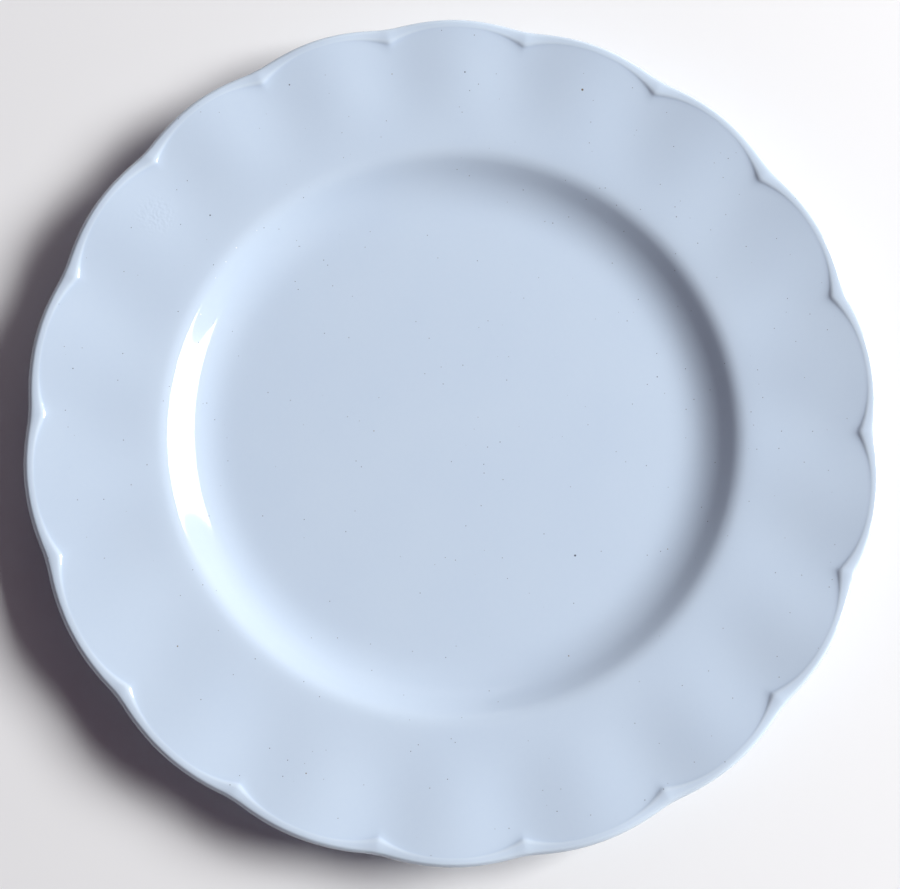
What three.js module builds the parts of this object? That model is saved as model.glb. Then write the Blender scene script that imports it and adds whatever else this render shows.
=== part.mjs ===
import * as THREE from 'three';

// Lunch plate with a petalled rim, in millimetres, +Z up.
// The origin is the middle of the foot ring on the table, and a crease between two petals lies along +X.

// Whole plate
const plateDiameter = 231;
const petalCount = 18;
const glazeThickness = 0.25;

// Well, with slopes in degrees
const wellFloorRadius = 62.2;
const wellFloorThickness = 3.3;
const wallSlope = 34.8;
const wallHollowRadius = 20.3;
const wallStraight = 2.9;
const wallShoulderRadius = 8.9;

// Rim and its petals, with slopes in degrees
const rimSlopeInner = 5;
const rimSlopeOuter = 10.2;
const fluteDepth = 0.36;
const fluteLength = 25;
const fluteFullInset = 11.25;

// Raised band along the edge, with its rise in degrees
const edgeScallopDepth = 1.25;
const edgeRound = 1.4;
const edgeThickness = 2.9;
const bandTopPetal = 1;
const bandTopCrease = 2.78;
const bandRise = 5.5;
const bandStepRunPetal = 0.45;
const bandStepRunCrease = 1.2;
const bandStepPetal = 0.12;
const bandStepCrease = 0.84;

// Back and foot ring
const bodyThickness = 3.1;
const footDepth = 1.8;
const footOverhang = 4.95;
const footWidth = 3.5;
const footFlare = 1.6;
const recessFlare = 1.2;
const bareFootHeight = 0.7;

// Facets
const plainStepsPerPetal = 4;
const petalStepsPerPetal = 8;
const hollowFacets = 4;
const shoulderFacets = 2;
const edgeFacets = 4;
const rimStations = [0.35, 0.65, 0.88];

// Finishes
const glazeFinish = { color: 0xc2d3e9, roughness: 0.12, metalness: 0 };
const clayFinish = { color: 0xb4bfcc, roughness: 0.85, metalness: 0 };

const radians = THREE.MathUtils.degToRad;
const slopeOf = (degrees) => Math.tan(radians(degrees));

// Sizes that follow from the driving ones
const clayRadius = plateDiameter / 2 - glazeThickness;
const floorTop = footDepth + wellFloorThickness;
const creaseRadius = clayRadius - edgeScallopDepth - edgeRound - bandTopCrease - bandStepRunCrease;
const fluteFullRadius = clayRadius - fluteFullInset;

// A petal offset is 0 at the middle of a petal and -1 or 1 at the creases beside it.
// Each edge line of a petal is an arc that bows outwards between two creases.
function arch(atPetal, atCrease, offset) {
  return atPetal + (atCrease - atPetal) * offset * offset;
}

// Hollow round from the floor into the wall, at a slope and a depth under the face
function hollowPoint(slope, depth) {
  const reach = wallHollowRadius + depth;
  const radius = wellFloorRadius + reach * Math.sin(radians(slope));
  const height = floorTop + wallHollowRadius - reach * Math.cos(radians(slope));
  return [radius, height];
}

// Round from the wall onto the rim, at a slope and a depth under the face
function shoulderPoint(slope, depth) {
  const [wallRadius, wallHeight] = hollowPoint(wallSlope, 0);
  const run = Math.cos(radians(wallSlope));
  const rise = Math.sin(radians(wallSlope));
  const middleRadius = wallRadius + wallStraight * run + wallShoulderRadius * rise;
  const middleHeight = wallHeight + wallStraight * rise - wallShoulderRadius * run;
  const reach = wallShoulderRadius - depth;
  return [middleRadius - reach * Math.sin(radians(slope)), middleHeight + reach * Math.cos(radians(slope))];
}

const [rimStart, rimStartHeight] = shoulderPoint(rimSlopeInner, 0);

// Plain rim, which steepens evenly from the shoulder to the creases
function plainRimHeight(radius) {
  const run = radius - rimStart;
  const bend = (slopeOf(rimSlopeOuter) - slopeOf(rimSlopeInner)) / (creaseRadius - rimStart);
  return rimStartHeight + run * slopeOf(rimSlopeInner) + (bend * run * run) / 2;
}

// Face of a petal, which swells in its middle and sinks at its creases
function petalHeight(radius, offset) {
  const grown = THREE.MathUtils.smoothstep(radius, fluteFullRadius - fluteLength, fluteFullRadius);
  return plainRimHeight(radius) + fluteDepth * grown * Math.cos(Math.PI * offset);
}

const outerRadius = (offset) => arch(clayRadius, clayRadius - edgeScallopDepth, offset);
const crownRadius = (offset) => outerRadius(offset) - edgeRound;
const bandTop = (offset) => arch(bandTopPetal, bandTopCrease, offset);
const bandStepRun = (offset) => arch(bandStepRunPetal, bandStepRunCrease, offset);

// Line where a petal meets the raised band
function linePoint(offset) {
  const radius = crownRadius(offset) - bandTop(offset) - bandStepRun(offset);
  return [radius, petalHeight(radius, offset)];
}

// Inner edge of the band's top
function bandPoint(offset) {
  const [radius, height] = linePoint(offset);
  return [radius + bandStepRun(offset), height + arch(bandStepPetal, bandStepCrease, offset)];
}

const crownHeight = (offset) => bandPoint(offset)[1] + bandTop(offset) * slopeOf(bandRise);
const backEdgeHeight = crownHeight(1) - edgeThickness;

// Rounded outer edge, where facing turns from up on its crown to down under it
function edgePoint(facing, offset) {
  const halfHeight = (crownHeight(offset) - backEdgeHeight) / 2;
  const radius = crownRadius(offset) + edgeRound * Math.sin(radians(facing));
  return [radius, backEdgeHeight + halfHeight * (1 + Math.cos(radians(facing)))];
}

// Petal face at a share of the way from the shoulder to the band
function rimPoint(share, offset) {
  const radius = THREE.MathUtils.lerp(rimStart, linePoint(offset)[0], share);
  return [radius, petalHeight(radius, offset)];
}

// Stations are the rings of points that a piece is made of.
// Facing is the way that the surface looks there, in degrees from straight up, positive outwards.
const up = 0;
const outwards = 90;
const inwards = -90;
const down = 180;
const axisStation = (height, facing) => ({ steps: 0, facing, at: () => [0, height] });
const plainStation = (point, facing) => ({ steps: plainStepsPerPetal, facing, at: () => point });
const petalStation = (at, facing) => ({ steps: petalStepsPerPetal, facing, at });

// Evenly spaced values from first to last, both included
function spread(first, last, intervals) {
  return Array.from({ length: intervals + 1 }, (_, i) => THREE.MathUtils.lerp(first, last, i / intervals));
}

const backFacing = (slope) => down - slope;
const hollowSlopes = spread(0, wallSlope, hollowFacets);
const shoulderSlopes = spread(wallSlope, rimSlopeInner, shoulderFacets);
const edgeFacings = spread(up, down, edgeFacets);

const faceStations = [
  axisStation(floorTop, up),
  ...hollowSlopes.map((slope) => plainStation(hollowPoint(slope, 0), -slope)),
  ...shoulderSlopes.map((slope) => plainStation(shoulderPoint(slope, 0), -slope)),
  ...rimStations.map((share) => petalStation((offset) => rimPoint(share, offset), -rimSlopeInner)),
  petalStation(linePoint, up),
  petalStation(bandPoint, up),
  ...edgeFacings.map((facing) => petalStation((offset) => edgePoint(facing, offset), facing)),
];

// The foot ring stands under the hollow round, and its root lies on the back of that round.
const footOuterRadius = wellFloorRadius + footOverhang;
const footInnerRadius = footOuterRadius - footWidth;
const footRootRadius = footOuterRadius + footFlare;
const footRootSlope = THREE.MathUtils.radToDeg(
  Math.asin((footRootRadius - wellFloorRadius) / (wallHollowRadius + bodyThickness)),
);
const footRoot = hollowPoint(footRootSlope, bodyThickness);
const footRootFacing = 120;
const glazeLineRadius = footOuterRadius + (footFlare * bareFootHeight) / footRoot[1];

const shoulderBack = (slope) => plainStation(shoulderPoint(slope, bodyThickness), backFacing(slope));

const backStations = [
  ...shoulderSlopes.toReversed().map(shoulderBack),
  plainStation(hollowPoint(wallSlope, bodyThickness), backFacing(wallSlope)),
  plainStation(footRoot, footRootFacing),
  plainStation([glazeLineRadius, bareFootHeight], outwards),
];

const footStations = [
  plainStation([footOuterRadius, 0], down),
  plainStation([footInnerRadius, 0], down),
];

// The recess inside the foot ring carries its own coat of glaze.
const recessRadius = footInnerRadius - recessFlare;
const recessFacing = -150;
const recessLineRadius = footInnerRadius - (recessFlare * bareFootHeight) / footDepth;
const recessStations = [
  plainStation([recessLineRadius, bareFootHeight], inwards),
  plainStation([recessRadius, footDepth], recessFacing),
  axisStation(footDepth, down),
];

// Points of one station, laid off square to the surface by the thickness of a coat
function addRing(shell, station, coat) {
  const count = Math.max(1, station.steps * petalCount);
  const lean = radians(station.facing);
  const reach = station.steps === 0 ? 0 : coat * Math.sin(lean);
  const ring = [];
  for (let i = 0; i < count; i += 1) {
    const turn = i / count;
    const offset = 2 * ((turn * petalCount) % 1) - 1;
    const [radius, height] = station.at(offset);
    const angle = 2 * Math.PI * turn;
    ring.push(shell.points.length / 3);
    shell.points.push((radius + reach) * Math.cos(angle), (radius + reach) * Math.sin(angle));
    shell.points.push(height + coat * Math.cos(lean));
  }
  return ring;
}

// Triangles between two rings, which may have different numbers of points
function joinRings(first, second) {
  const triangles = [];
  let i = 0;
  let j = 0;
  while (i < first.length || j < second.length) {
    const here = first[i % first.length];
    const beside = second[j % second.length];
    if ((i + 1) / first.length <= (j + 1) / second.length) {
      i += 1;
      triangles.push([here, beside, first[i % first.length]]);
    } else {
      j += 1;
      triangles.push([here, beside, second[j % second.length]]);
    }
  }
  return triangles.filter(([a, b, c]) => a !== b && b !== c && c !== a);
}

// One skin through a run of stations, turned over where it is the inner side of a coat
function addSkin(shell, stations, coat, turned) {
  const rings = stations.map((station) => addRing(shell, station, coat));
  for (let k = 1; k < rings.length; k += 1) {
    const triangles = joinRings(rings[k - 1], rings[k]);
    shell.triangles.push(...(turned ? triangles.map(([a, b, c]) => [a, c, b]) : triangles));
  }
  return rings;
}

function meshOf(shell, name, finish) {
  const geometry = new THREE.BufferGeometry();
  geometry.setAttribute('position', new THREE.Float32BufferAttribute(shell.points, 3));
  geometry.setIndex(shell.triangles.flat());
  geometry.computeVertexNormals();
  const mesh = new THREE.Mesh(geometry, new THREE.MeshStandardMaterial(finish));
  mesh.name = name;
  return mesh;
}

// Solid piece whose stations run from the axis back to the axis
function solidPiece(name, stations, finish) {
  const shell = { points: [], triangles: [] };
  addSkin(shell, stations, 0, false);
  return meshOf(shell, name, finish);
}

// Coat of even thickness over a run of stations, closed at each end that isn't on the axis
function coatPiece(name, stations, finish) {
  const shell = { points: [], triangles: [] };
  const outer = addSkin(shell, stations, glazeThickness, false);
  const inner = addSkin(shell, stations, 0, true);
  if (stations[0].steps > 0) {
    shell.triangles.push(...joinRings(inner[0], outer[0]));
  }
  if (stations.at(-1).steps > 0) {
    shell.triangles.push(...joinRings(outer.at(-1), inner.at(-1)));
  }
  return meshOf(shell, name, finish);
}

const coatedStations = [...faceStations, ...backStations];
const bodyStations = [...coatedStations, ...footStations, ...recessStations];

const lunchPlate = new THREE.Group();
lunchPlate.add(
  solidPiece('clay_body', bodyStations, clayFinish),
  coatPiece('glaze_coat', coatedStations, glazeFinish),
  coatPiece('foot_recess_glaze', recessStations, glazeFinish),
);

export default lunchPlate;
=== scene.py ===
# %% [markdown]
# # A lunch plate with a petalled rim
#
# The solids of this plate are already made: a clay body, the glaze over it and the glaze inside its foot
# ring. This script dresses them. It draws the same profile again, but finely enough for a gloss to run over
# it without a facet showing, and gives each piece a finish made of nodes.
# The imported model comes in first as a fixed frame. Its pieces stay in the scene, hidden. The dressed
# plate may not outgrow it.

# %% Load the frame
import math
import bpy
import numpy as np
from mathutils import Matrix, Vector


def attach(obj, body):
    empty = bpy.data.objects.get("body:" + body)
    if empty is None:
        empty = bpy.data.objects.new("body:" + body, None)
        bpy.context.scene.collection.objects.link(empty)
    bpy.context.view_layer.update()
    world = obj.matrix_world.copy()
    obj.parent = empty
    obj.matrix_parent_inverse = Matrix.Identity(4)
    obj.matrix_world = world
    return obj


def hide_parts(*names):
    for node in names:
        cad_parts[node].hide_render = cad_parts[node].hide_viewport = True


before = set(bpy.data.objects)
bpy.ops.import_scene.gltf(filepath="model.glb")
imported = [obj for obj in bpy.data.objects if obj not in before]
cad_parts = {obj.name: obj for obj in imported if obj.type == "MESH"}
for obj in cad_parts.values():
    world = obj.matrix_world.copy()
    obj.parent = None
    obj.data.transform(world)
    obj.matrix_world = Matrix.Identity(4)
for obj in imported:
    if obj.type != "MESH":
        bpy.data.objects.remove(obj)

MM = 0.001
scene = bpy.context.scene
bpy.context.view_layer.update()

# %% [markdown]
# ## Camera
#
# The plate is seen from nearly straight above, by a camera that leans a little towards the front.
# A camera could be aimed with a constraint, but then its roll is hard to set. Here the three directions of
# the camera are worked out and written into its matrix: back towards the viewer, right, and up in the
# picture.

# %% Camera
PICTURE_WIDTH = 900
SENSOR_WIDTH = 36.0
focal_pixels = 1474.0
camera_distance = 0.410
camera_turn = math.radians(-105.375)
camera_tilt = math.radians(9.161)
camera_roll = math.radians(0.698)
camera_aim = Vector((-0.000843, -0.002734, 0.0))
nearest_seen = 0.01

back = Vector((
    math.sin(camera_tilt) * math.cos(camera_turn),
    math.sin(camera_tilt) * math.sin(camera_turn),
    math.cos(camera_tilt),
))
picture_up = Vector((-math.sin(camera_roll), math.cos(camera_roll), 0.0))
right = picture_up.cross(back).normalized()
up = back.cross(right)
stand = camera_aim + camera_distance * back

camera_data = bpy.data.cameras.new("camera")
camera_data.sensor_fit = "HORIZONTAL"
camera_data.sensor_width = SENSOR_WIDTH
camera_data.lens = focal_pixels * SENSOR_WIDTH / PICTURE_WIDTH
camera_data.clip_start = nearest_seen
camera = bpy.data.objects.new("camera", camera_data)
camera.matrix_world = Matrix((
    (right.x, up.x, back.x, stand.x),
    (right.y, up.y, back.y, stand.y),
    (right.z, up.z, back.z, stand.z),
    (0.0, 0.0, 0.0, 1.0),
))
scene.collection.objects.link(camera)
scene.camera = camera
print("camera stands", round(stand.z, 3), "m above the table, lens", round(camera_data.lens, 1), "mm")

# %% [markdown]
# ## Table and backdrop
#
# The plate stands on a plain white table. A wide disc does for it, and it keeps the plate's shadow.
# Far out the disc takes on the colour of the backdrop, so that no edge shows when the camera goes low.
# The backdrop itself is the world, which is pale to whatever looks at it: wholly to the camera, and in part
# to the gloss of the glaze. Higher up it turns into a dim ceiling. To matt surfaces the same world is only a
# weak fill, faintly violet, because the shadows in such a room are.
# All finishes here are made of nodes. One helper adds a node with its settings, and puts on each of its
# inputs either a constant or a link from another node. Two more do what comes up again and again.

# %% Nodes
gloss_share = 0.15


def add(tree, kind, inputs=None, **settings):
    """A new node with its settings, and with a constant or a link on each named input."""
    made = tree.nodes.new("ShaderNode" + kind)
    for name, value in settings.items():
        setattr(made, name, value)
    for name, value in (inputs or {}).items():
        if isinstance(value, bpy.types.NodeSocket):
            tree.links.new(value, made.inputs[name])
        else:
            made.inputs[name].default_value = value
    return made


def mixed(tree, share, first, second):
    """A colour that goes from the first to the second as the share goes from 0 to 1."""
    inputs = {"Factor": share, "A": first, "B": second}
    return add(tree, "Mix", inputs, data_type="RGBA").outputs["Result"]


def looked_at(tree):
    """How far a ray shows the backdrop: wholly to the camera, in part to a gloss, else not at all."""
    path = add(tree, "LightPath").outputs
    share = {0: path["Is Glossy Ray"], 1: gloss_share, 2: path["Is Camera Ray"]}
    return add(tree, "Math", share, operation="MULTIPLY_ADD").outputs[0]


print("a gloss sees", gloss_share, "of the backdrop")

# %% Backdrop
backdrop_color = (0.86, 0.865, 0.87, 1.0)
ceiling_color = (0.12, 0.12, 0.125, 1.0)
backdrop_top = math.sin(math.radians(8.0))
ceiling_start = math.sin(math.radians(32.0))
fill_color = (1.03, 0.76, 0.98, 1.0)
fill_strength = 0.082

world = bpy.data.worlds.new("studio")
scene.world = world
world.use_nodes = True
tree = world.node_tree
tree.nodes.clear()
sight = add(tree, "TexCoord").outputs["Generated"]
height = add(tree, "SeparateXYZ", {"Vector": sight}).outputs["Z"]
span = {"Value": height, "From Min": backdrop_top, "From Max": ceiling_start}
upwards = add(tree, "MapRange", span, interpolation_type="SMOOTHSTEP").outputs["Result"]
backdrop = add(tree, "Background", {"Color": mixed(tree, upwards, backdrop_color, ceiling_color)})
fill = add(tree, "Background", {"Color": fill_color, "Strength": fill_strength})
both = add(tree, "MixShader", {0: looked_at(tree), 1: fill.outputs[0], 2: backdrop.outputs[0]})
add(tree, "OutputWorld", {"Surface": both.outputs[0]})
print("fill", fill_strength, "under a backdrop of", backdrop_color[:3])

# %% Table
table_radius = 8.0
table_sides = 96
fade_start = 0.3
fade_end = 1.0
table_look = {
    "Base Color": (0.808, 0.817, 0.822, 1.0),
    "Roughness": 0.6,
    "Specular IOR Level": 0.2,
}


def new_finish(name):
    """A finish with an empty node tree, and that tree."""
    finish = bpy.data.materials.new(name)
    finish.use_nodes = True
    finish.node_tree.nodes.clear()
    return finish, finish.node_tree


turns = [2 * math.pi * side / table_sides for side in range(table_sides)]
table_mesh = bpy.data.meshes.new("table")
table_mesh.from_pydata(
    [(table_radius * math.cos(turn), table_radius * math.sin(turn), 0.0) for turn in turns],
    [],
    [list(range(table_sides))],
)
table = bpy.data.objects.new("table", table_mesh)
scene.collection.objects.link(table)

table_finish, tree = new_finish("table_white")
spot = add(tree, "TexCoord").outputs["Object"]
reach = add(tree, "VectorMath", {0: spot}, operation="LENGTH").outputs["Value"]
span = {"Value": reach, "From Min": fade_start, "From Max": fade_end}
fade = add(tree, "MapRange", span, interpolation_type="SMOOTHSTEP").outputs["Result"]
shown = add(tree, "Math", {0: fade, 1: looked_at(tree)}, operation="MULTIPLY").outputs[0]
white = add(tree, "BsdfPrincipled", table_look)
distant = add(tree, "Emission", {"Color": backdrop_color})
both = add(tree, "MixShader", {0: shown, 1: white.outputs[0], 2: distant.outputs[0]})
add(tree, "OutputMaterial", {"Surface": both.outputs[0]})
table_mesh.materials.append(table_finish)
print("table", 2 * table_radius, "m across, fading from", fade_start, "to", fade_end, "m")

# %% [markdown]
# ## Light
#
# One large softbox stands low at the right. It draws the long white gleam down the left of the well, the
# dark crescent under the right of the rim and the soft shadow at the lower left.
# A sun lamp would give the shadow but no gleam of the right shape, because a gleam is a picture of the lamp.
# So the lamp is a rectangle with the real softbox's angular size, turned to face the plate.
# A faint pale board further round, at the upper right, gives back a little of that light.

# %% Softbox and board
softbox_turn = math.radians(11.7)
softbox_height = math.radians(36.0)
softbox_lean = math.radians(15.0)
softbox_distance = 2.4
softbox_width = 1.254
softbox_tall = 0.946
softbox_power = 95.4
board_turn = math.radians(65.0)
board_height = math.radians(35.0)
board_lean = 0.0
board_distance = 1.8
board_width = 1.7
board_tall = 0.96
board_power = 2.7


def panel(name, turn, height, lean, distance, width, tall, power):
    """A rectangle of light that looks at the plate, leaning over towards it."""
    towards = Vector((
        math.cos(height) * math.cos(turn),
        math.cos(height) * math.sin(turn),
        math.sin(height),
    ))
    light = bpy.data.lights.new(name, "AREA")
    light.shape = "RECTANGLE"
    light.size = width
    light.size_y = tall
    light.energy = power
    lamp = bpy.data.objects.new(name, light)
    lamp.location = distance * towards
    facing = towards.to_track_quat("Z", "Y").to_matrix() @ Matrix.Rotation(-lean, 3, "X")
    lamp.rotation_euler = facing.to_euler()
    lamp.visible_camera = False
    scene.collection.objects.link(lamp)
    print(name, width, "x", tall, "m, at", [round(c, 2) for c in lamp.location])


panel(
    "softbox", softbox_turn, softbox_height, softbox_lean,
    softbox_distance, softbox_width, softbox_tall, softbox_power,
)
panel(
    "board", board_turn, board_height, board_lean,
    board_distance, board_width, board_tall, board_power,
)

# %% [markdown]
# ## The plate's profile
#
# A plate like this is thrown down as a bat of clay on a turning mould, and a shaped tool cuts its back.
# The mould gives the face, with the petals. So the plate is a profile that turns about the axis, and round
# the rim the profile changes with the place in a petal.
# Blender's Screw modifier can turn one profile, but not one that changes on the way. So the rings are
# computed: each ring is one point of the profile, taken at every column of points round the plate.
# Columns stand closer together near the creases, where the edge line comes to a point. On a plate that is
# finished by hand the creases aren't quite evenly spaced, so each has a small shift in degrees.

# %% Columns round the plate
PETALS = 18
plate_radius = 115.13
columns_per_half = 14
crowding = 1.6
crease_shifts = [
    0.13, 0.19, 0.34, 0.19, 0.64, 0.50, -0.03, -0.51, -0.52,
    -0.50, -0.58, -0.13, -0.08, 0.18, -0.20, 0.14, 0.23, 0.06,
]


def eased(share):
    """A share from 0 to 1 that starts and ends gently."""
    return share * share * (3 - 2 * share)


near_middle = np.arange(columns_per_half) / columns_per_half
to_crease = 1 - (1 - near_middle) ** crowding
one_petal = np.concatenate([[-1.0], -to_crease[:0:-1], to_crease])
offset = np.tile(one_petal, PETALS)
petal = np.repeat(np.arange(PETALS), len(one_petal))
way = (offset + 1) / 2
first_shift = np.radians(crease_shifts)[petal]
next_shift = np.radians(np.roll(crease_shifts, -1))[petal]
angle = (petal + way) * 2 * math.pi / PETALS + first_shift + (next_shift - first_shift) * eased(way)
columns = len(offset)
closest = float(np.diff(angle).min()) * plate_radius
print(columns, "columns, the closest", round(closest, 2), "mm apart at the edge")

# %% [markdown]
# The sizes follow those of the solids, in millimetres and degrees, with small trims where the fine shape
# needs them, and the glaze is laid on the clay as it is there. The well has a flat floor, a hollow round, a
# short straight wall and a round shoulder that runs out onto the rim.
# Plain arcs would do for the eye, but a gloss shows every place where an arc begins. So the profile is told
# by its slope at each radius: it eases out of the floor, climbs evenly, stays at the wall's slope, falls off
# round the shoulder and dies away in a long tail. The height of the face is that slope, added up from the
# middle outwards.

# %% Well and shoulder
glaze_thickness = 0.25
clay_radius = plate_radius - glaze_thickness
lip_width = 0.72
crown_radius = clay_radius - lip_width
foot_depth = 1.8
floor_thickness = 3.3
floor_top = foot_depth + floor_thickness
floor_radius = 62.2
floor_ease = 1.3
hollow_radius = 20.3
wall_slope = 34.8
wall_straight = 2.9
shoulder_radius = 8.9
shoulder_end_slope = 10.5
shoulder_ease = 1.7
rim_slope_inner = 3.8
rim_slope_outer = 10.2
scallop_depth = 1.25
band_width_crease = 3.78
crease_radius = crown_radius - scallop_depth - band_width_crease


def slope_of(degrees):
    """How far a slope rises on each unit of its run."""
    return math.tan(math.radians(degrees))


steepest = math.sin(math.radians(wall_slope))
wall_run = wall_straight * math.cos(math.radians(wall_slope))
shoulder_start = floor_radius + hollow_radius * steepest + wall_run
shoulder_run = shoulder_radius * (steepest - math.sin(math.radians(shoulder_end_slope)))
rim_start = shoulder_start + shoulder_run


def lean(radius):
    """Slope of the face at a radius, in radians, without the petals."""
    climb = floor_ease * np.log1p(np.exp((radius - floor_radius) / floor_ease)) / hollow_radius
    fall = steepest - np.maximum(radius - shoulder_start, 0) / shoulder_radius
    well = np.arcsin(np.clip(np.minimum(climb, fall), 0, steepest))
    run = np.maximum(radius - rim_start, 0)
    steepening = (slope_of(rim_slope_outer) - slope_of(rim_slope_inner)) / (crease_radius - rim_start)
    tail = (slope_of(shoulder_end_slope) - slope_of(rim_slope_inner)) * np.exp(-run / shoulder_ease)
    rim = np.arctan(slope_of(rim_slope_inner) + steepening * run + tail)
    return np.where(radius < rim_start, well, rim)


print("shoulder from radius", round(shoulder_start, 2), "to", round(rim_start, 2), "mm")

# %% Height of the face
fine_count = 4000
floor_radii = [6, 18, 30, 42, 50, 54, 57]
wall_first_radius = 58.5
wall_rings = 46

fine_radii = np.linspace(0, plate_radius, fine_count)
fine_rises = np.tan(lean(fine_radii))
fine_steps = np.diff(fine_radii) * (fine_rises[1:] + fine_rises[:-1]) / 2
fine_heights = floor_top + np.concatenate([[0], np.cumsum(fine_steps)])


def plain_height(radius):
    """Height of the face at a radius, without the petals."""
    return np.interp(radius, fine_radii, fine_heights)


def ring(radius, height):
    """One point of the profile at every column, as rows of radius and height."""
    return np.stack(np.broadcast_arrays(radius + 0 * offset, height), axis=1)


wall_radii = np.linspace(wall_first_radius, rim_start, wall_rings)
well_rings = [ring(radius, plain_height(radius)) for radius in (*floor_radii, *wall_radii)]
well_depth = float(plain_height(rim_start)) - floor_top
print("well", round(well_depth, 2), "mm deep,", len(well_rings), "rings")

# %% [markdown]
# ## Petals and edge
#
# Each petal swells in its middle and sinks at its creases, a little more towards the edge.
# Round the edge runs a raised band. It is a thread at the middle of a petal and a small wedge at a crease,
# where two arcs meet. Outside the band's crown a soft lip falls away.
# The edge was trimmed by hand, so its lines aren't quite round the same middle, and the outermost is a trace
# oval. Each such drift has a size in millimetres and the turn, in degrees, that it goes towards.

# %% Petals
flute_depth = 0.36
flute_length = 25.0
flute_full_inset = 10.25
flute_full_radius = crown_radius - flute_full_inset
band_width_petal = 1.65
crown_inset = 0.15
edge_softness = 0.16
line_softness = 0.05
line_power = 1.25
edge_oval = 0.08
outer_drift = (0.3, 30)
crown_drift = (0.5, 20)
line_drift_petal = (0.5, 13)
line_drift_crease = (0.1, 13)


def petal_height(radius):
    """Height of the petals' face at a radius for each column."""
    grown = np.clip((radius - flute_full_radius) / flute_length + 1, 0, 1)
    return plain_height(radius) + flute_depth * eased(grown) * np.cos(math.pi * offset)


def bow(softness):
    """0 at the middle of a petal and 1 at a crease, along an arc whose crease is rounded off."""
    away = np.abs(offset)
    arc = away ** 2 / (1 - softness)
    tip = 1 - (1 - away) ** 2 / softness
    return np.where(away < 1 - softness, arc, tip)


def drift(size, turn):
    """How far a ring has shifted sideways, seen along each column."""
    return size * np.cos(angle - math.radians(turn))


edge_bow = bow(edge_softness)
line_bow = bow(line_softness) ** line_power
oval = edge_oval * np.cos(2 * angle)
outer_radius = clay_radius - scallop_depth * edge_bow + drift(*outer_drift) + oval
crown_line = crown_radius - crown_inset - scallop_depth * edge_bow + drift(*crown_drift)
line_radius = (crown_radius - band_width_petal + drift(*line_drift_petal)) * (1 - line_bow)
line_radius += (crease_radius + drift(*line_drift_crease)) * line_bow
print("petal line from radius", round(line_radius.min(), 2), "to", round(line_radius.max(), 2), "mm")

# %% [markdown]
# Clay and glaze leave no sharp corner, so the edge is drawn by its corners and each is rounded: a curve that
# touches the middle of every side of the corner line and turns smoothly between them.
# The corners of the step stand at distances out from the petal line, those of the band at shares of the way
# to the crown, with slopes in degrees between them, and those of the lip at shares of its width, each with
# its drop.

# %% Band
step_reach_petal = (-1.0, -0.3, 0.15)
step_reach_crease = (-3.6, -0.6, 0.6)
band_share_petal = (0.46, 0.79, 1.0)
band_share_crease = (0.52, 0.82, 1.0)
band_slope_petal = (14.5, 7.0, 2.0, -3.0)
band_slope_crease = (35.0, 8.0, 1.0, -8.0)
sharpening = 0.9
crown_back = 0.2


def blended(pairs, share):
    """Values between those of mid petal and those of the crease, for each column."""
    return [at_petal + (at_crease - at_petal) * share for at_petal, at_crease in pairs]


band_run = crown_line - crown_back - line_radius
reaches = blended(zip(step_reach_petal, step_reach_crease), line_bow)
reaches += [share * band_run for share in blended(zip(band_share_petal, band_share_crease), line_bow)]
slopes = blended(zip(band_slope_petal, band_slope_crease), line_bow ** sharpening)
last_petal_radius = line_radius + reaches[0]
foot_of_step = line_radius + reaches[1]
band_corners = [ring(radius, petal_height(radius)) for radius in (last_petal_radius, foot_of_step)]
for before, after, slope in zip(reaches[1:], reaches[2:], slopes):
    height = band_corners[-1][:, 1] + (after - before) * np.tan(np.radians(slope))
    band_corners.append(ring(line_radius + after, height))
crown_height = band_corners[-1][:, 1]
print("crown from", round(crown_height.min(), 2), "to", round(crown_height.max(), 2), "mm high")

# %% Rim and lip
rim_steps = 24
rim_spread = 1.3
lip_steps = [(0.06, -0.08), (0.46, -0.42), (0.82, -1.0), (1.0, -1.6)]
edge_thickness = 2.9
body_thickness = 3.1
side_height = 0.7
under_inset = 1.7
under_share = 0.1
arc_steps = 6


def rounded(corners):
    """Rings along a line of corner rings, each inner corner rounded from mid side to mid side."""
    rings = [corners[0]]
    for first, corner, last in zip(corners, corners[1:], corners[2:]):
        start = first if first is corners[0] else (first + corner) / 2
        end = last if last is corners[-1] else (corner + last) / 2
        for step in np.linspace(0, 1, arc_steps + 1)[1:]:
            rings.append((1 - step) ** 2 * start + 2 * step * (1 - step) * corner + step ** 2 * end)
    return rings


def back_ring(radius):
    """Ring of the back under the face at a radius."""
    tilt = lean(radius)
    height = plain_height(radius) - body_thickness * np.cos(tilt)
    return ring(radius + body_thickness * np.sin(tilt), height)


rim_shares = np.linspace(0, 1, rim_steps)[1:-1] ** rim_spread
rim_radii = [rim_start + (last_petal_radius - rim_start) * share for share in rim_shares]
rim_rings = [ring(radius, petal_height(radius)) for radius in rim_radii]
lip_run = outer_radius - crown_line
lip_corners = [ring(crown_line + share * lip_run, crown_height + rise) for share, rise in lip_steps]
back_edge_height = float(crown_height.min()) - edge_thickness
under_edge = ring(outer_radius - under_inset, back_edge_height)
shoulder_back = back_ring(rim_start)
edge_rings = rounded(band_corners + lip_corners + [
    ring(outer_radius, back_edge_height + side_height),
    under_edge,
    under_edge + under_share * (shoulder_back - under_edge),
])
print(len(rim_rings), "rings on the rim,", len(edge_rings), "round the edge")

# %% [markdown]
# ## Back and foot ring
#
# The back follows the face at an even thickness. Under the wall of the well stands the foot ring that the
# plate rests on. Before firing its bearing edge is wiped, so that it doesn't stick to the kiln shelf, and it
# stays bare.
# So the profile has three runs: the coated one from the middle of the face to the outside of the foot, the
# bare one over the foot, and the coated one in the recess inside it.

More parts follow.
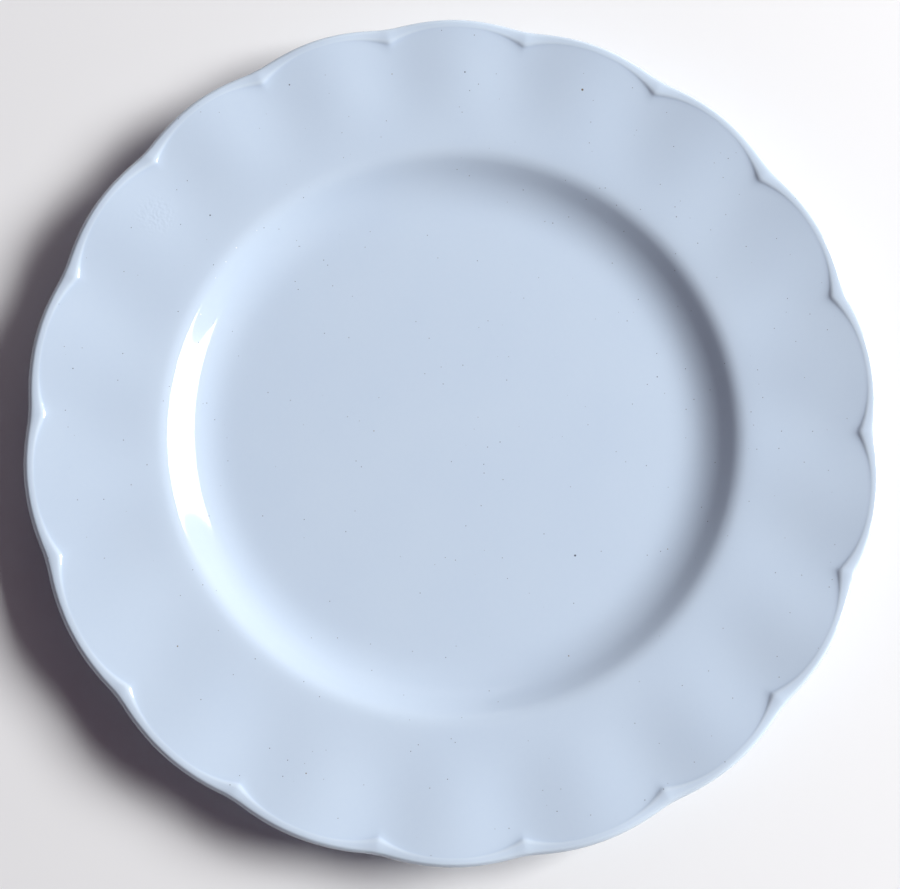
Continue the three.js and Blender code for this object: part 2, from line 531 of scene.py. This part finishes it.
# %% Back and foot
foot_outer_radius = 67.15
foot_inner_radius = 63.65
foot_flare = 1.6
recess_flare = 1.2
bare_height = 0.7
foot_round = 0.8
back_steps = 9
wall_back_rings = 16
wall_back_end = 2.0
root_round = 1.5
recess_round = 1.5
recess_radii = (57, 48, 36, 24, 12, 4)

root_radius = foot_outer_radius + foot_flare
root_over = np.interp(root_radius, fine_radii + body_thickness * np.sin(lean(fine_radii)), fine_radii)
root = back_ring(root_over)
glaze_line = ring(foot_outer_radius + foot_flare * bare_height / root[0, 1], bare_height)
recess_line = ring(foot_inner_radius - recess_flare * bare_height / foot_depth, bare_height)
recess_radius = foot_inner_radius - recess_flare

edge_end = edge_rings[-1]
back_shares = np.linspace(0, 1, back_steps)[1:-1]
back_rings = [edge_end + share * (shoulder_back - edge_end) for share in back_shares]
wall_back_radii = np.linspace(rim_start, root_over + wall_back_end, wall_back_rings)
back_rings += [back_ring(radius) for radius in wall_back_radii]
foot_side_rings = rounded([back_ring(root_over + root_round), root, glaze_line])
bearing_rings = rounded([
    glaze_line,
    ring(foot_outer_radius, 0.0),
    ring(foot_outer_radius - foot_round, 0.0),
    ring(foot_inner_radius + foot_round, 0.0),
    ring(foot_inner_radius, 0.0),
    recess_line,
])
recess_rings = rounded([
    recess_line,
    ring(recess_radius, foot_depth),
    ring(recess_radius - recess_round, foot_depth),
])
recess_rings += [ring(radius, foot_depth) for radius in recess_radii]

coated_run = np.array(well_rings + rim_rings + edge_rings + back_rings + foot_side_rings)
bare_run = np.array(bearing_rings)
recess_run = np.array(recess_rings)
print("rings: coated", len(coated_run), "bare", len(bare_run), "recess", len(recess_run))

# %% [markdown]
# ## From rings to closed pieces
#
# The glaze lies on the clay like a skin, so its outer side is the clay's profile moved outwards, square to
# the surface. It thins out to nothing much at its edge on the foot. Its inner side is the clay's own face,
# turned over.
# The clay warps a little in the kiln. The same gentle warp moves all the pieces, so they still fit on each
# other. Each of its waves has a number of lobes, a size in millimetres and a turn.

# %% Glaze thickness
edge_fade = 5
thin_edge = 0.35


def laid_on(run, ends):
    """A run of rings moved outwards by the glaze, which thins towards its "first" or "last" ring."""
    along = np.gradient(run, axis=0)
    along /= np.linalg.norm(along, axis=2, keepdims=True)
    outwards = np.stack([-along[..., 1], along[..., 0]], axis=2)
    thickness = np.full(len(run), glaze_thickness)
    taper = np.linspace(thin_edge, 1, edge_fade)
    if "first" in ends:
        thickness[:edge_fade] *= taper
    if "last" in ends:
        thickness[-edge_fade:] *= taper[::-1]
    return run + thickness[:, None, None] * outwards


glazed_face = laid_on(coated_run, ["last"])
glazed_recess = laid_on(recess_run, ["first"])
widest, highest = glazed_face.reshape(-1, 2).max(axis=0)
print("glaze reaches radius", round(float(widest), 3), "and height", round(float(highest), 3))

# %% Warp of the kiln
warp_start = 3.0
warp_full = 12.0
warps = [(2, 0.10, 0.6), (3, 0.06, 2.1), (5, 0.03, 4.0)]


def points_of(run):
    """Points in space of a run of rings, with the kiln's warp, which leaves the foot flat."""
    radius, height = run[..., 0], run[..., 1]
    share = np.clip((height - warp_start) / (warp_full - warp_start), 0, 1)
    share = eased(share) * (radius / plate_radius) ** 2
    lift = sum(size * (np.cos(lobes * angle + turn) - 1) / 2 for lobes, size, turn in warps)
    points = np.stack([radius * np.cos(angle), radius * np.sin(angle), height + share * lift], axis=2)
    return MM * points.reshape(-1, 3)


print("warp up to", round(sum(size for lobes, size, turn in warps), 2), "mm at the rim")

# %% Mesh of a piece
def skin_faces(rings, first, turned=False):
    """Four-sided faces between neighbouring rings, whose points are counted from first."""
    here = np.arange((rings - 1) * columns).reshape(rings - 1, columns)
    beside = np.roll(here, -1, axis=1)
    faces = np.stack([here, here + columns, beside + columns, beside], axis=2).reshape(-1, 4) + first
    return (faces[:, ::-1] if turned else faces).tolist()


def cap_faces(edge, middle, turned=False):
    """Three-sided faces from a ring to a point in its middle."""
    ends = np.roll(edge, -1)
    faces = np.stack([np.full(columns, middle), edge, ends], axis=1)
    return (faces[:, ::-1] if turned else faces).tolist()


def axis_point(height):
    """A point on the axis, at a height in millimetres."""
    return np.array([[0.0, 0.0, height * MM]])


def piece(name, points, faces, finish, node, depth=None):
    """A smooth piece that stands for a node of the frame and wears the finish it is given."""
    mesh = bpy.data.meshes.new(name)
    mesh.from_pydata(points.tolist(), [], faces)
    mesh.validate()
    mesh.shade_smooth()
    mesh.materials.append(finish)
    if depth is not None:
        mesh.attributes.new("glaze_depth", "FLOAT", "POINT").data.foreach_set("value", depth)
    made = bpy.data.objects.new(name, mesh)
    scene.collection.objects.link(made)
    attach(made, "root")
    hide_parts(node)
    print(name, len(mesh.vertices), "points,", len(mesh.polygons), "faces")


print("a strip between two rings has", len(skin_faces(2, 0)), "faces")

# %% [markdown]
# ## Glaze
#
# The glaze is a pale blue glass. The plate was dipped, so the coat is even, but not dead flat: it clouds a
# little from place to place, it is thin and paler where it ran off the crown of the edge, and deeper where
# it gathered at the foot of the band and in the hollow of the well.
# How thick it lies follows from the bend of the profile. That is worked out here for each point and kept
# with the mesh. The nodes could find it themselves from the shape, but only at the grain of the mesh and
# less evenly.

# %% How deep the glaze lies
flat_depth = 0.5
depth_per_bend = 1.1


def depth_of(run):
    """Depth of the glaze over a run of rings: half on a flat, more in a hollow and less on a crown."""
    along = np.gradient(run, axis=0)
    length = np.linalg.norm(along, axis=2)
    heading = np.unwrap(np.arctan2(along[..., 1], along[..., 0]), axis=0)
    bend = np.gradient(heading, axis=0) / length
    depth = np.clip(flat_depth + depth_per_bend * bend, 0, 1)
    softened = (depth[:-2] + 2 * depth[1:-1] + depth[2:]) / 4
    return np.concatenate([depth[:1], softened, depth[-1:]]).reshape(-1)


face_depth = depth_of(coated_run)
recess_depth = depth_of(recess_run)
print("glaze depth from", round(float(face_depth.min()), 2), "to", round(float(face_depth.max()), 2))

# %% [markdown]
# Iron in the clay and the glaze burns to specks in the kiln. The largest ones lie where they do on the real
# plate: each has its place in millimetres across and up the plate, and its radius. They are dark, or brown
# where the glaze over them is thin. A few pale dots at the upper left of the well are painted highlights:
# small glints of light off the glaze, laid into its colour.
# The finest specks are strewn by a cell texture: each cell is a ball of space with one grain in it, and a
# grain shows only where the surface cuts it, so the specks come out in all sizes and no two alike.

# %% Specks
dark_specks = [
    (33.4, -33.5, 0.37), (-67.9, 57.5, 0.27), (-47.2, 94.8, 0.26), (1.4, 100.2, 0.27),
    (56.4, 16.6, 0.22), (-102.4, 13.5, 0.20), (-51.8, -62.5, 0.18), (60.8, 60.5, 0.19),
    (27.1, 60.0, 0.18), (12.7, -2.6, 0.18), (-43.8, 39.2, 0.17), (66.7, 53.1, 0.17),
    (-26.7, -8.6, 0.16), (-89.7, 18.2, 0.17), (60.4, 63.3, 0.16),
]
brown_specks = [
    (34.3, 95.9, 0.40), (31.5, -60.6, 0.22), (-72.0, -59.5, 0.24), (-37.6, -91.6, 0.22),
    (-18.9, 99.2, 0.18), (58.7, -31.4, 0.18), (-22.0, -0.2, 0.18),
]
# Painted highlights: pale dots in the glaze colour that stand for small glints of light.
painted_glints = [
    (-60.6, 48.9, 0.26), (-63.3, 44.9, 0.22), (-69.7, 30.2, 0.24), (-55.2, 54.0, 0.18),
    (-66.0, 40.3, 0.17),
]
speck_core = 0.45
fine_cell = 3.1 * MM
fine_radius = 0.17 * MM
fine_core = 0.4


def marks(tree, flat, specks):
    """1 inside the listed specks and 0 outside, softly."""
    inside = None
    for across, upwards, radius in specks:
        distance = {0: flat, 1: (MM * across, MM * upwards, 0.0)}
        away = add(tree, "VectorMath", distance, operation="DISTANCE").outputs["Value"]
        edge = {"Value": away, "From Min": MM * radius, "From Max": MM * radius * speck_core}
        mark = add(tree, "MapRange", edge).outputs["Result"]
        if inside:
            mark = add(tree, "Math", {0: inside, 1: mark}, operation="MAXIMUM").outputs[0]
        inside = mark
    return inside


def strewn(tree, place):
    """1 inside fine specks strewn through space and 0 outside, softly."""
    cells = add(tree, "TexVoronoi", {"Vector": place, "Scale": 1 / fine_cell, "Randomness": 1.0})
    edge = fine_radius / fine_cell
    span = {"Value": cells.outputs["Distance"], "From Min": edge, "From Max": fine_core * edge}
    return add(tree, "MapRange", span).outputs["Result"]


print(len(dark_specks), "dark and", len(brown_specks), "brown specks,", len(painted_glints), "painted glints in place")

# %% Glaze colour
glaze_thin = (0.600, 0.705, 0.815, 1.0)
glaze_deep = (0.503, 0.615, 0.763, 1.0)
dark_color = (0.075, 0.085, 0.125, 1.0)
brown_color = (0.17, 0.115, 0.055, 1.0)
# The colour of the painted highlights, near white.
painted_glint_color = (0.84, 0.88, 0.9, 1.0)
cloud_scale = 40.0
cloud_share = 0.35
grain_scale = 800.0
grain_share = 0.15


def noise(tree, place, scale, detail):
    """Soft random waves from 0 to 1, so many to the metre."""
    return add(tree, "TexNoise", {"Vector": place, "Scale": scale, "Detail": detail}).outputs["Fac"]


glaze, tree = new_finish("pale_blue_glaze")
place = add(tree, "TexCoord").outputs["Object"]
parts = add(tree, "SeparateXYZ", {"Vector": place}).outputs
flat = add(tree, "CombineXYZ", {"X": parts["X"], "Y": parts["Y"]}).outputs[0]
depth = add(tree, "Attribute", attribute_name="glaze_depth").outputs["Fac"]
cloud = noise(tree, place, cloud_scale, detail=3.0)
grain = noise(tree, place, grain_scale, detail=2.0)
clouded = add(tree, "Math", {0: cloud, 1: cloud_share, 2: depth}, operation="MULTIPLY_ADD").outputs[0]
grained = add(tree, "Math", {0: grain, 1: grain_share, 2: clouded}, operation="MULTIPLY_ADD").outputs[0]
middle = (cloud_share + grain_share) / 2
span = {"Value": grained, "From Min": middle, "From Max": middle + 1}
level = add(tree, "MapRange", span).outputs["Result"]
clear = mixed(tree, level, glaze_thin, glaze_deep)
# Painted highlights are laid into the glaze colour here.
with_painted_glints = mixed(tree, marks(tree, flat, painted_glints), clear, painted_glint_color)
browned = mixed(tree, marks(tree, flat, brown_specks), with_painted_glints, brown_color)
specks = {0: marks(tree, flat, dark_specks), 1: strewn(tree, place)}
dark = add(tree, "Math", specks, operation="MAXIMUM").outputs[0]
glaze_color = mixed(tree, dark, browned, dark_color)
print("glaze from", glaze_thin[:3], "where thin to", glaze_deep[:3], "where deep")

# %% [markdown]
# The surface of the glaze is a melt that froze, so it isn't a perfect mirror. It has the faint skin of an
# orange, too weak to see but for a slight waver in the gleams, and near the upper left of the rim a patch
# the size of a fingertip where it crawled into fine ripples. The gloss changes a little from place to place
# with wear.

# %% Glaze surface
skin_scale = 180.0
skin_height = 0.012 * MM
ripple_place = (-82.5 * MM, 56.5 * MM, 0.0)
ripple_reach = 7.5 * MM
ripple_core = 0.25
ripple_scale = 1300.0
ripple_share = 6.5
wear_scale = 110.0
wear_span = {"From Min": 0.3, "From Max": 0.7, "To Min": 0.055, "To Max": 0.095}
glaze_ior = 1.5

away = add(tree, "VectorMath", {0: flat, 1: ripple_place}, operation="DISTANCE").outputs["Value"]
span = {
    "Value": away,
    "From Min": ripple_reach,
    "From Max": ripple_core * ripple_reach,
    "To Max": ripple_share,
}
patch = add(tree, "MapRange", span, interpolation_type="SMOOTHSTEP").outputs["Result"]
ripple = noise(tree, place, ripple_scale, detail=0.0)
skin = noise(tree, place, skin_scale, detail=1.0)
relief = add(tree, "Math", {0: ripple, 1: patch, 2: skin}, operation="MULTIPLY_ADD").outputs[0]
bump = add(tree, "Bump", {"Height": relief, "Distance": skin_height, "Strength": 1.0}).outputs["Normal"]
wear = noise(tree, place, wear_scale, detail=4.0)
polish = add(tree, "MapRange", {"Value": wear, **wear_span}).outputs["Result"]
look = {"Base Color": glaze_color, "Roughness": polish, "IOR": glaze_ior, "Normal": bump}
gloss = add(tree, "BsdfPrincipled", look)
add(tree, "OutputMaterial", {"Surface": gloss.outputs[0]})
print("skin", round(skin_height / MM, 3), "mm high, ripples within", round(ripple_reach / MM, 1), "mm")

# %% [markdown]
# ## Bare clay
#
# Only the edge of the foot that the plate rests on is bare. It is fired clay, dry and finely grained, and
# grey with soil where it has slid over tables and other plates. The soil is laid on by height, because it is
# rubbed on from below.

# %% Clay finish
clay_color = (0.50, 0.56, 0.63, 1.0)
clay_grain = (0.42, 0.475, 0.54, 1.0)
clay_roughness = 0.85
clay_specular = 0.3
sand_scale = 1600.0
sand_height = 0.08 * MM
soil_color = (0.27, 0.275, 0.285, 1.0)
soil_height = 0.35 * MM
smear_scale = 150.0

clay, tree = new_finish("bare_clay")
place = add(tree, "TexCoord").outputs["Object"]
low = add(tree, "SeparateXYZ", {"Vector": place}).outputs["Z"]
sand = noise(tree, place, sand_scale, detail=4.0)
smear = noise(tree, place, smear_scale, detail=5.0)
rubbed = add(tree, "MapRange", {"Value": low, "From Min": soil_height, "From Max": 0.0}).outputs["Result"]
soil = add(tree, "Math", {0: rubbed, 1: smear}, operation="MULTIPLY").outputs[0]
bump = add(tree, "Bump", {"Height": sand, "Distance": sand_height, "Strength": 1.0}).outputs["Normal"]
look = {
    "Base Color": mixed(tree, soil, mixed(tree, sand, clay_color, clay_grain), soil_color),
    "Roughness": clay_roughness,
    "Specular IOR Level": clay_specular,
    "Normal": bump,
}
matt = add(tree, "BsdfPrincipled", look)
add(tree, "OutputMaterial", {"Surface": matt.outputs[0]})
print("soil up to", round(soil_height / MM, 2), "mm above the table")

# %% [markdown]
# ## The three pieces
#
# The clay is one skin from the middle of the face, round the edge and the foot, to the middle of the back.
# Each glaze is a closed coat: its outer side, its inner side turned over, and the edge between them at the
# foot ring. Its run of rings has the middle of the plate, its pole, at one end and that edge at the other.

# %% Clay piece
body_run = np.concatenate([coated_run, bare_run[1:], recess_run[1:]])
body_points = np.concatenate([points_of(body_run), axis_point(floor_top), axis_point(foot_depth)])
last = len(body_points) - 1
body_faces = skin_faces(len(body_run), 0)
body_faces += cap_faces(np.arange(columns), last - 1)
body_faces += cap_faces(np.arange(columns) + (len(body_run) - 1) * columns, last, turned=True)
piece("clay", body_points, body_faces, clay, "clay_body")


# %% Glaze pieces
def coat(name, outer_run, inner_run, depth, pole, outer_height, inner_height, node):
    """A closed coat: its outer side, its inner side turned over, and the edge between them."""
    rings = len(outer_run)
    sides = [points_of(outer_run), points_of(inner_run)]
    points = np.concatenate([*sides, axis_point(outer_height), axis_point(inner_height)])
    inner_first = len(sides[0])
    first_ring = np.arange(columns)
    last_ring = first_ring + (rings - 1) * columns
    turned = pole == "last"
    pole_ring, edge_ring = (last_ring, first_ring) if turned else (first_ring, last_ring)
    faces = skin_faces(rings, 0) + skin_faces(rings, inner_first, turned=True)
    faces += cap_faces(pole_ring, len(points) - 2, turned)
    faces += cap_faces(pole_ring + inner_first, len(points) - 1, not turned)
    ends = np.roll(edge_ring, -1)
    closing = np.stack([edge_ring, edge_ring + inner_first, ends + inner_first, ends], axis=1)
    faces += (closing[:, ::-1] if turned else closing).tolist()
    depths = np.concatenate([depth, depth, [flat_depth, flat_depth]])
    piece(name, points, faces, glaze, node, depths)


coat(
    "glaze", glazed_face, coated_run, face_depth, "first",
    floor_top + glaze_thickness, floor_top, "glaze_coat",
)
coat(
    "recess_glaze", glazed_recess, recess_run, recess_depth, "last",
    foot_depth - glaze_thickness, foot_depth, "foot_recess_glaze",
)

# %% [markdown]
# ## Colours
#
# Colours are shown as they come, with no film curve over them.

# %% View of the colours
scene.view_settings.view_transform = "Standard"
